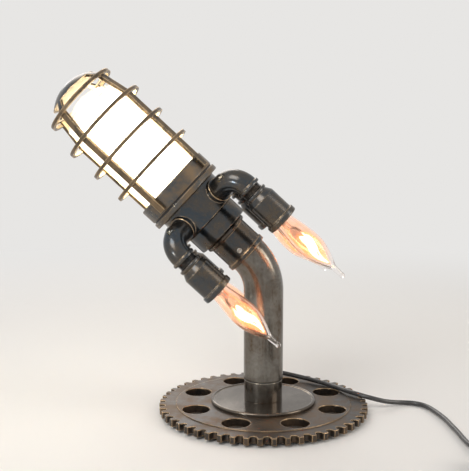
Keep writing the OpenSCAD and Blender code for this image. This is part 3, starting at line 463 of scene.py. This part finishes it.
# The jar's glass gives off painted light beside the lamp, as if it were lit from inside.
dress(lit_glass("jar_glass_painted_glow", (0.97, 0.96, 0.93), 0.09, (1.0, 0.9, 0.7), 0.85), "glass_jar")
# The lamp's light passes through the jar to the guard
solids["glass_jar"].visible_shadow = False


# %% Main lamp
def light_source(name, warm, hot, power, scale, ends=None):
    """A glowing surface whose colour drifts between warm and hot in soft clouds. With ends, two stations
    on the head's axis, it falls to a tenth of the warm colour there."""
    made, tree, surface = new_finish(name)
    place = own_place(tree)
    glow = mix_colour(tree, spread(tree, noise(tree, place, scale, 3.0), 0.35, 0.6), warm, hot)
    if ends:
        foot, top = ends
        station = along_head(tree, place)[1]
        lit = times(tree, spread(tree, station, foot, foot + 0.016), spread(tree, station, top, top - 0.012))
        glow = mix_colour(tree, lit, [0.1 * channel for channel in warm], glow)
    wire_up(tree, surface, {"Emission Color": glow},
            {"Emission Strength": power, "Base Color": (*warm, 1.0), "Roughness": 0.5})
    return made


dress(light_source("lit_main_bulb", (1.0, 0.87, 0.62), (1.0, 0.96, 0.86), 14.0, 45.0, ends=(0.014, 0.107)),
      "main_bulb_glass")
dress(light_source("filament_light", (1.0, 0.8, 0.5), (1.0, 0.94, 0.8), 5.0, 130.0), "main_filament")

# %% [markdown]
# ## Small materials
# Electrodes are grey sheet metal, holders are glazed ware, washers and gland are rubber, and the switch
# and plug are moulded plastic with a fine spark-eroded grain.

# %% Grained finishes
def grained(name, base, second, rough, scale, bump, metallic=0.0, reach=0.0):
    """Two close colours in fine noise, with the same noise as relief. A reach rounds the look of edges."""
    made, tree, surface = new_finish(name)
    cloud = put(tree, "ShaderNodeGroup", {"Clouds": scale * 0.2, "Flecks": scale * 0.6, "Grain Scale": scale},
                node_tree=MOTTLE).outputs
    duller = min(rough * 1.25, 1.0)
    round_edge = None
    if reach:
        wear = put(tree, "ShaderNodeGroup", {"Reach": reach}, node_tree=EDGE_RUB)
        round_edge = wear.outputs["Soft Normal"]
    wire_up(tree, surface, {"Base Color": mix_colour(tree, cloud["Patches"], base, second),
                            "Roughness": spread(tree, cloud["Patches"], 0.0, 1.0, rough, duller),
                            "Normal": relief(tree, cloud["Grain"], bump, 0.0003, round_edge)},
            {"Metallic": metallic})
    return made


brass = grained("brass", (0.66, 0.47, 0.21), (0.5, 0.34, 0.15), 0.3, 300.0, 0.1, 0.95)
plate_metal = grained("electrode_metal", (0.6, 0.57, 0.54), (0.45, 0.41, 0.38), 0.35, 800.0, 0.12, 0.85)
glazed = grained("glazed_holder", (0.8, 0.77, 0.7), (0.72, 0.67, 0.58), 0.25, 200.0, 0.05)
rubber = grained("black_rubber", (0.022, 0.022, 0.024), (0.035, 0.034, 0.033), 0.5, 1500.0, 0.1)
plastic = grained("black_plastic", (0.028, 0.028, 0.03), (0.04, 0.04, 0.042), 0.38, 2600.0, 0.18,
                  reach=0.0009)
# Black felt: a pad under the gear, whose black in the gear's holes is painted shade.
felt = grained("felt", (0.035, 0.03, 0.026), (0.07, 0.06, 0.05), 0.95, 2200.0, 0.6)
wire = grained("lead_cover", (0.06, 0.045, 0.036), (0.09, 0.065, 0.05), 0.6, 900.0, 0.2)
dress(brass, "friction_washer", "stem_sleeve", "plug_pins", "main_bulb_base",
      *[f"bulb_base_{i}" for i in four])
dress(plate_metal, *[f"electrodes_{i}" for i in four])
dress(glazed, "main_holder", *[f"holder_{i}" for i in four])
dress(rubber, "swivel_washer", "jar_gasket", "cord_gland")
dress(plastic, "switch_base", "switch_cover", "switch_rocker", "plug_body", "coil_tie")
dress(wire, "inner_lead", "thruster_leads")

# %% [markdown]
# ## The cord
# A round black lead leaves the gland behind the collar, drops over the toothed rim and runs out of the
# picture to a rocker switch. The rest is wound up for storage, tied, and ends in a plug. A tube is
# carried along the same points as the solids have. Its scuffs follow the UV map, so they run with it.

# %% Cord finish
def cord_cover(name):
    """Black cord cover: fine ribs along the cord from its UV map, and a soft gloss."""
    made, tree, surface = new_finish(name)
    spot = put(tree, "ShaderNodeUVMap", uv_map="along").outputs[0]
    long = put(tree, "ShaderNodeMapping", {"Vector": spot, "Scale": (14.0, 60.0, 1.0)}).outputs[0]
    scuff = noise(tree, long, 2.0, 4.0)
    worn = mix_colour(tree, spread(tree, scuff, 0.4, 0.7), (0.032, 0.032, 0.034), (0.07, 0.066, 0.062))
    wire_up(tree, surface, {"Base Color": worn, "Roughness": spread(tree, scuff, 0.3, 0.7, 0.2, 0.36),
                            "Normal": relief(tree, scuff, 0.1, 0.0002)}, {})
    return made


cover = cord_cover("cord_cover")
print("cord finish has", len(cover.node_tree.nodes), "nodes")

# %% Cord routes
CORD_RADIUS = 0.002
RUN = 0.001 * np.array([
    [0, 39, 19.5], [0, 44, 19.5], [2, 51, 18.8], [8, 58, 17], [18, 61.5, 15.2], [30, 59.5, 13.2],
    [41, 54, 12], [51, 47, 11.2], [60, 38.5, 10.8], [68, 28.5, 10.7], [75, 19, 10.7], [82, 11.4, 10.6],
    [89, 6.6, 9.8], [96, 4.8, 8.4], [103, 5.4, 6.5], [110, 8, 4.6], [117, 11, 3.2], [124, 12.8, 2.4],
    [131, 12, 2.2], [137, 8.4, 2.2], [141.5, 2, 2.2], [144.5, -7, 2.2], [147, -18, 2.2], [149, -30, 2.2],
    [150, -43, 2.2], [151, -56, 2.2], [151.5, -68, 2.2], [152, -79, 2.2], [153, -89, 2.8], [155, -98, 4.4],
    [157, -107, 6.2], [158, -115, 7], [158, -120, 7]])
COIL_IN = 0.001 * np.array([[158, -176, 7], [158, -180, 7], [158, -186, 5.6], [158, -192, 3.8],
                            [158, -198, 3], [158, -204, 3]])
COIL_OUT = 0.001 * np.array([[124, -238, 16.2], [117, -238, 15], [110, -238, 13.2], [103, -238, 11.4],
                             [96, -238, 10.3], [90, -238, 10], [86, -238, 10]])
COIL_X, COIL_Y, COIL_FLOOR = 0.130, -0.210, 0.003
COIL_TURNS, COIL_LAYERS = 9.25, 4
COIL_RADIUS, TURN_STEP, LAYER_STEP = 0.028, 0.0046, 0.0045


def ease(x):
    """A smooth step: 0 below 0, 1 above 1, and x * x * (3 - 2 x) between."""
    x = np.clip(x, 0, 1)
    return x * x * (3 - 2 * x)


def coil_route(per_turn):
    """Turn t of the coil lies at angle -360 t round its middle. The radius falls and rises by one step a
    turn, folding at each layer, and the height climbs one layer in the half turn where it folds."""
    layer = COIL_TURNS / COIL_LAYERS
    t = np.arange(int(COIL_TURNS * per_turn) + 1) / per_turn
    share = t / layer
    radius = COIL_RADIUS - TURN_STEP * layer * np.abs(share - 2 * np.round(share / 2))
    climb = ease((t[:, None] - layer * np.arange(1, COIL_LAYERS)) * 2 + 0.5)
    a = 2 * np.pi * t
    return np.stack([COIL_X + radius * np.cos(a), COIL_Y - radius * np.sin(a),
                     COIL_FLOOR + LAYER_STEP * climb.sum(1)], 1)


def route_length(route):
    """The sum of the steps along a route."""
    return float(np.linalg.norm(np.diff(route, axis=0), axis=1).sum())


run_route = smooth_route(RUN, 6)
coil_path = smooth_route(np.vstack([COIL_IN, coil_route(24), COIL_OUT]), 2)
print("cord", round(route_length(run_route), 3), "+", round(route_length(coil_path), 3), "m")

# %% [markdown]
# ## The plug
# A moulded plug starts as a round sleeve on the cord, swells to a soft block, dips at both sides for finger
# and thumb, and ends in a flat face with a rounded rim. Each section is an oval that can go from round to
# boxy, so one formula carries the whole shape.

# %% Moulded plug
PLUG_END = 0.001 * np.array([86, -238, 10])
SLEEVE, BLOCK, RIM = 0.020, 0.032, 0.0015
HALF_WIDE, HALF_TALL = 0.0125, 0.0100
DIP, RIDGE, RIDGES = 0.0015, 0.0003, 5.5
GROOVE, GROOVE_STEP = 0.0005, 0.0034


def plug_points():
    """Section at distance s: half sizes w and h, point (w * |cos a| ** (2 / n), h * |sin a| ** (2 / n))
    with the signs of cos and sin. n goes from 2, round, to 6, boxy, with the same smooth step that swells
    the sleeve to the block. The sides dip and carry small ridges, the sleeve has grooves round it, and the
    rim shrinks on a quarter circle."""
    length = SLEEVE + BLOCK
    last = RIM * np.sin(np.linspace(0, np.pi / 2, 9)[1:])
    s = np.concatenate([np.linspace(0, length - RIM, 150), length - RIM + last])
    swell = ease((s - SLEEVE + 0.003) / 0.012)
    sleeve = 0.003 + 0.0012 * np.clip(s / SLEEVE, 0, 1)
    grooved = (s < SLEEVE - 0.005) * (s > 0.001)
    sleeve = sleeve - GROOVE * np.clip(np.cos(2 * np.pi * s / GROOVE_STEP), 0, 1) * grooved
    held = np.clip((s - SLEEVE - 0.009) / (BLOCK - 0.014), 0, 1)
    ridge = RIDGE * np.clip(np.sin(2 * np.pi * held * RIDGES), 0, 1)
    waist = (DIP - ridge) * np.sin(np.pi * held) ** 2
    past = np.clip(s - length + RIM, 0, None)
    rim = RIM - np.sqrt(np.clip(RIM ** 2 - past ** 2, 0, None))
    wide = sleeve + (HALF_WIDE - sleeve) * swell - waist - rim
    tall = sleeve + (HALF_TALL - sleeve) * swell - rim
    power = (2 / (2 + 4 * swell))[:, None]
    a = np.linspace(0, 2 * np.pi, 72, endpoint=False)[None, :]
    across = wide[:, None] * np.sign(np.cos(a)) * np.abs(np.cos(a)) ** power
    up = tall[:, None] * np.sign(np.sin(a)) * np.abs(np.sin(a)) ** power
    return PLUG_END + np.stack([-s[:, None] + 0 * a, across, -up], -1)


plug = grid_piece("moulded_plug", plug_points(), "base", plastic)
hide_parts("plug_body")

# %% [markdown]
# ## The two lengths of cord
# The switch parts the cord in two. Each length is a tube along its own route.

cord_run = grid_piece("cord_to_switch", tube_points(run_route, CORD_RADIUS, 16), "base", cover)
cord_coil = grid_piece("cord_to_plug", tube_points(coil_path, CORD_RADIUS, 12), "base", cover)
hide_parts("cord_run")
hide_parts("cord_coil")

# %% [markdown]
# ## The cord's strain relief
# Where the cord leaves the collar, a rubber sleeve keeps it from kinking: a flange, then a taper with
# grooves that let it bend. It is one profile turned round the cord's axis.

# %% Strain relief
GLAND_HEIGHT = 0.0195


def sleeve_profile():
    """(radius, distance from the stem's axis) in mm: a shank, a rounded flange from 16.2 to 19, then a taper
    to 39 whose radius dips 0.7 in a cosine groove every 3.2, fading to the plain tip."""
    head = np.array([[4.3, 12.5], [4.3, 16.2], [5.5, 16.2], [5.85, 16.4], [6.0, 16.8], [6.0, 18.4],
                     [5.85, 18.8], [5.5, 19.0]])
    y = np.linspace(19.0, 38.6, 120)
    taper = 4.5 + (2.8 - 4.5) * (y - 19.0) / 20.0
    fade = np.clip((36.0 - y) / 4.0, 0, 1) * np.clip((y - 19.0) / 1.5, 0, 1)
    groove = np.clip(np.cos(2 * np.pi * (y - 20.6) / 3.2) * 1.6 - 0.4, 0, 1)
    body = np.stack([taper - 0.7 * groove * fade, y], 1)
    tip = np.array([[2.6, 38.9], [2.2, 39.0]])
    return 0.001 * np.vstack([head, body, tip])


sleeve_points = lathe_points(sleeve_profile(), (0, 0, GLAND_HEIGHT), (0, 1, 0), (1, 0, 0), 40)
gland_sleeve = grid_piece("gland_sleeve", sleeve_points, "base", rubber)
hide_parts("cord_gland")

# %% [markdown]
# ## Bare threads
# Each elbow screws into its cup, and a few turns of the thread stay in sight. The solid has a plain
# cylinder there. A ridge that climbs as it goes round covers it.

# %% Threads between elbows and cups
THREAD_FROM, THREAD_TO = 0.0165, 0.0219
THREAD_RADIUS, THREAD_DEPTH, THREAD_PITCH = 0.0079, 0.0005, 0.0013


def thread_points(origin, axis, across):
    """Radius + depth * (a triangle wave of height / pitch - angle / turn), on a grid of height by angle:
    lines of equal height on the wave climb one pitch in each turn."""
    s = np.linspace(THREAD_FROM, THREAD_TO, 110)[:, None]
    a = np.linspace(0, 2 * np.pi, 72, endpoint=False)[None, :]
    wave = np.abs((s / THREAD_PITCH - a / (2 * np.pi)) % 1.0 - 0.5) * 2
    r = (THREAD_RADIUS + THREAD_DEPTH * wave)[..., None]
    out = np.cos(a)[..., None] * across + np.sin(a)[..., None] * np.cross(axis, across)
    return origin + s[..., None] * axis + r * out


thread_metal = rubbed_metal("thread_metal", (0.05, 0.055, 0.062), (0.075, 0.062, 0.05), (0.3, 0.22, 0.14),
                            smooth=0.22, dull=0.36, clouds=60.0, reach=0.0002)
for i in four:
    turns = thread_points(thruster_origin(i), -nose, thruster_spoke(i))
    grid_piece(f"elbow_thread_{i}", turns, "stem", thread_metal)

# %% [markdown]
# ## A set screw
# A small round spot on the front of the coupling is a screw that locks it on the pipe: a low head with a
# socket, turned from one profile.

# %% Set screw
SCREW_PROFILE = 0.001 * np.array([[2.2, -0.6], [2.2, 0.45], [2.1, 0.68], [1.85, 0.8], [1.2, 0.85],
                                  [1.1, 0.8], [1.1, 0.1], [0.9, 0.0], [0.05, 0.0]])
COUPLING_RADIUS, SCREW_STATION, SCREW_ANGLE = 0.018, -0.062, -93
screw_out = spoke(SCREW_ANGLE)
screw_foot = flange_middle + SCREW_STATION * nose + COUPLING_RADIUS * screw_out
screw_points = lathe_points(SCREW_PROFILE, screw_foot, screw_out, nose, 36)
grid_piece("coupling_screw", screw_points, "stem", nut_steel)

# %% [markdown]
# ## The flame bulbs
# These bulbs hold two flame-shaped plates in thin gas. The gas glows amber up to the glass, orange about
# the plates, and white-hot in one slim tongue. So the glass itself gives off a little light in its belly,
# and two closed shells inside it, a soft veil and a bent tongue, give off the rest.

# %% Glass of the flame bulbs
FLAME_START, FLAME_LENGTH = 0.0486, 0.060
NECK, BELLY, TAIL, BELLY_AT, TAPER = 0.0072, 0.0105, 0.0025, 0.54, 1.15
belly_station = float(np.dot(flange_middle, -nose)) + PORT_DROP + FLAME_START + BELLY_AT * FLAME_LENGTH


def flame_glass(name):
    """Clear glass that glows from the neck to the shoulder. The station along the bulbs is the place dotted
    with their common direction, so one material serves all four."""
    made, tree, surface = new_finish(name)
    place = own_place(tree)
    along = vector(tree, "DOT_PRODUCT", place, tuple(-nose))["Value"]
    rise = spread(tree, along, belly_station - 0.044, belly_station - 0.016, 0.28, 1.0)
    fall = spread(tree, along, belly_station + 0.024, belly_station + 0.006)
    wisp = noise(tree, place, 150.0, 3.0)
    glow = times(tree, times(tree, rise, fall), spread(tree, wisp, 0.3, 0.66, 0.35, 1.0))
    wire_up(tree, surface, {"Emission Color": mix_colour(tree, glow, (0.02, 0.004, 0.0), (1.0, 0.42, 0.22)),
                            "Base Color": mix_colour(tree, glow, (1.0, 0.97, 0.95), (1.0, 0.75, 0.6)),
                            "Roughness": spread(tree, wisp, 0.3, 0.7, 0.008, 0.03),
                            "Normal": relief(tree, wisp, 0.04, 0.0004)},
            {"Emission Strength": 0.12, "Transmission Weight": 1.0, "IOR": GLASS_IOR})
    return made


dress(flame_glass("flame_glass"), *[f"bulb_glass_{i}" for i in four])
for i in four:
    solids[f"bulb_glass_{i}"].visible_shadow = False


# %% Shapes of the glow
def flame_outline(u):
    """Radius of the glass at share u of its length: neck + (belly - neck) * (1 - cos(pi u / at)) / 2 up to
    the belly, then tail + (belly - tail) * (1 - v * v) ** taper, where v runs from the belly to the end."""
    v = np.clip((u - BELLY_AT) / (1 - BELLY_AT), 0, 1)
    swell = NECK + (BELLY - NECK) * (1 - np.cos(np.pi * np.clip(u / BELLY_AT, 0, 1))) / 2
    return np.where(u < BELLY_AT, swell, TAIL + (BELLY - TAIL) * (1 - v * v) ** TAPER)


def flame_points(i, share, first, last, sway):
    """A closed shell inside bulb i: the glass outline drawn in to a share, from one share of its length to
    another, with round ends. Its axis sways by sway * sin(2 pi t) along the plates."""
    t = np.linspace(0.0, 1.0, 64)
    u = first + (last - first) * t
    ends = np.sqrt(np.clip(np.minimum(t / 0.2, (1 - t) / 0.45), 0, 1)) * 0.998 + 0.002
    profile = np.stack([share * flame_outline(u) * ends, FLAME_START + FLAME_LENGTH * u], 1)
    out = thruster_spoke(i)
    bend = sway * np.sin(2 * np.pi * t)[:, None, None] * out
    return lathe_points(profile, thruster_origin(i), -nose, out, 32) + bend


print("glass is", round(2000 * float(flame_outline(np.array(BELLY_AT))), 1), "mm wide at its belly")


# %% Light of the glow
def flame_light(name, low, high, power, thin, dense):
    """Glowing gas in drifting wisps: its colour and its density follow the same noise."""
    made, tree, surface = new_finish(name)
    wisp = noise(tree, own_place(tree), 140.0, 3.0)
    drift = mix_colour(tree, spread(tree, wisp, 0.34, 0.64), low, high)
    wire_up(tree, surface, {"Emission Color": drift, "Alpha": spread(tree, wisp, 0.34, 0.64, thin, dense)},
            {"Emission Strength": power, "Base Color": (*low, 1.0), "Specular IOR Level": 0.0})
    return made


VEIL = {"share": 0.7, "first": 0.33, "last": 0.94, "sway": 0.0004}
CORE = {"share": 0.37, "first": 0.35, "last": 0.9, "sway": 0.0021}
veil_light = flame_light("flame_veil", (1.0, 0.29, 0.08), (1.0, 0.5, 0.26), 1.0, 0.14, 0.56)
core_light = flame_light("flame_core", (1.0, 0.86, 0.6), (1.0, 0.95, 0.82), 4.0, 0.9, 1.0)
for i in four:
    grid_piece(f"flame_veil_{i}", flame_points(i, **VEIL), "stem", veil_light)
    grid_piece(f"flame_core_{i}", flame_points(i, **CORE), "stem", core_light)

# %% [markdown]
# ## The felt pad
# A pad under the gear keeps the table from scratches. Its black, seen through the holes of the gear, is also
# painted shade in them. Cut felt has a soft, slightly wavy edge, so its outline is a circle with a small
# ripple, and its rim is rounded. It lies where its plain solid is.

# %% Felt pad
FELT_RADIUS, FELT_THICK, FELT_RIPPLE = 0.0746, 0.002, 0.00025
FLAT_RINGS = [0.02, 0.068]


def felt_points():
    """Rows run up the pad's side from its lower middle to its upper middle: flat rings, a rounded rim, and
    flat rings again. At the rim the radius gains ripple * (sin 9a + sin(23a + 1)) / 2."""
    a = np.linspace(0, 2 * np.pi, 180, endpoint=False)[None, :]
    arc = np.linspace(-np.pi / 2, np.pi / 2, 9)
    half = FELT_THICK / 2
    side = np.concatenate([FLAT_RINGS, FELT_RADIUS - half + half * np.cos(arc), FLAT_RINGS[::-1]])[:, None]
    height = np.concatenate([[0, 0], half + half * np.sin(arc), [FELT_THICK, FELT_THICK]])[:, None]
    ripple = FELT_RIPPLE * (np.sin(9 * a) + np.sin(23 * a + 1)) / 2
    radius = side + ripple * (side > max(FLAT_RINGS))
    return np.stack([radius * np.cos(a), radius * np.sin(a), height + 0 * a], -1)


felt_pad = grid_piece("felt_pad", felt_points(), "base", felt)
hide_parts("base_felt")

# %% [markdown]
# ## The floor, the light and the room
# A pale floor carries the shadow. Far from the lamp it fades into the room's own pale colour, so that no
# line parts the floor from the wall. The camera, mirrors and glass see that colour, while the light in
# the room stays at a plain level. Soft lamps give the metal something to mirror, and one of them stands
# low, because an upright pipe seen from above mirrors only what is near the floor.

# %% Seen by the eye, a mirror or through glass
PALE = (0.80, 0.79, 0.775)


def seen_rays(tree):
    """1 for rays from the camera, off gloss or through glass, and 0 for the light in the room."""
    rays = put(tree, "ShaderNodeLightPath").outputs
    most = rays["Is Camera Ray"]
    for kind in ("Is Glossy Ray", "Is Transmission Ray"):
        most = put(tree, "ShaderNodeMath", {0: most, 1: rays[kind]}, operation="MAXIMUM").outputs[0]
    return most


print("the room is seen as", PALE)


# %% Floor
FLOOR_RINGS = [0.001, 0.5, 2.0, 40.0]
FADE_FROM, FADE_TO = 0.3, 1.1


def pale_floor():
    """A wide round plane just under the part: rows are radii, columns are angles."""
    radius = np.array(FLOOR_RINGS)[:, None, None]
    a = np.linspace(0, 2 * np.pi, 48, endpoint=False)[None, :, None]
    points = np.concatenate([radius * np.cos(a), radius * np.sin(a), 0 * radius * a - 0.0002], -1)
    made, tree, surface = new_finish("pale_floor")
    place = own_place(tree)
    haze = mix_colour(tree, noise(tree, place, 6.0, 2.0), (0.79, 0.78, 0.765), PALE)
    wire_up(tree, surface, {"Base Color": haze}, {"Roughness": 0.7})
    away = put(tree, "ShaderNodeMapRange", {"Value": vector(tree, "LENGTH", place)["Value"],
                                            "From Min": FADE_FROM, "From Max": FADE_TO},
               interpolation_type="SMOOTHSTEP").outputs["Result"]
    glow = put(tree, "ShaderNodeEmission", {"Color": (*PALE, 1.0)})
    fade = put(tree, "ShaderNodeMixShader", {0: times(tree, away, seen_rays(tree)), 1: surface.outputs[0],
                                            2: glow.outputs[0]})
    tree.links.new(fade.outputs[0], tree.nodes["Material Output"].inputs["Surface"])
    mesh = bpy.data.meshes.new("pale_floor")
    upward = grid_quads(*points.shape[:2])[:, ::-1]
    mesh.from_pydata(points.reshape(-1, 3).tolist(), [], upward.tolist())
    mesh.materials.append(made)
    floor = bpy.data.objects.new("pale_floor", mesh)
    bpy.context.scene.collection.objects.link(floor)
    return floor


print("floor has", len(pale_floor().data.polygons), "faces")


# %% Soft lamps
def soft_lamp(name, place, aim, size, power, warmth):
    """A square area lamp at a place, turned to an aim."""
    data = bpy.data.lights.new(name, "AREA")
    data.size = size
    data.energy = power
    data.color = warmth
    lamp = bpy.data.objects.new(name, data)
    bpy.context.scene.collection.objects.link(lamp)
    lamp.location = place
    x, y, z = np.array(aim, float) - np.array(place, float)
    lamp.rotation_euler = (math.atan2(math.hypot(x, y), -z), 0, math.atan2(y, x) - math.pi / 2)
    print(name, power, "W")


middle = (-0.02, 0, 0.14)
soft_lamp("key_lamp", (-0.9, -1.0, 1.3), middle, 0.9, 13.0, (1.0, 0.97, 0.93))
soft_lamp("side_lamp", (1.2, -0.4, 0.7), middle, 0.7, 7.0, (1.0, 0.92, 0.82))
soft_lamp("back_lamp", (-0.4, 1.3, 1.0), middle, 0.9, 7.0, (1.0, 0.95, 0.9))
soft_lamp("low_lamp", (-0.95, -1.0, 0.1), middle, 0.18, 3.0, (0.88, 0.95, 1.0))

# %% World
world = bpy.data.worlds.new("pale_room")
bpy.context.scene.world = world
world.use_nodes = True
sky_tree = world.node_tree
dim = sky_tree.nodes["Background"]
dim.inputs["Color"].default_value = (0.86, 0.85, 0.84, 1.0)
dim.inputs["Strength"].default_value = 0.5
seen = put(sky_tree, "ShaderNodeBackground", {"Color": (*PALE, 1.0), "Strength": 1.0})
blend = put(sky_tree, "ShaderNodeMixShader", {0: seen_rays(sky_tree), 1: dim.outputs[0], 2: seen.outputs[0]})
sky_tree.links.new(blend.outputs[0], sky_tree.nodes["World Output"].inputs["Surface"])
bpy.context.scene.view_settings.view_transform = "Standard"
print("world has", len(sky_tree.nodes), "nodes")
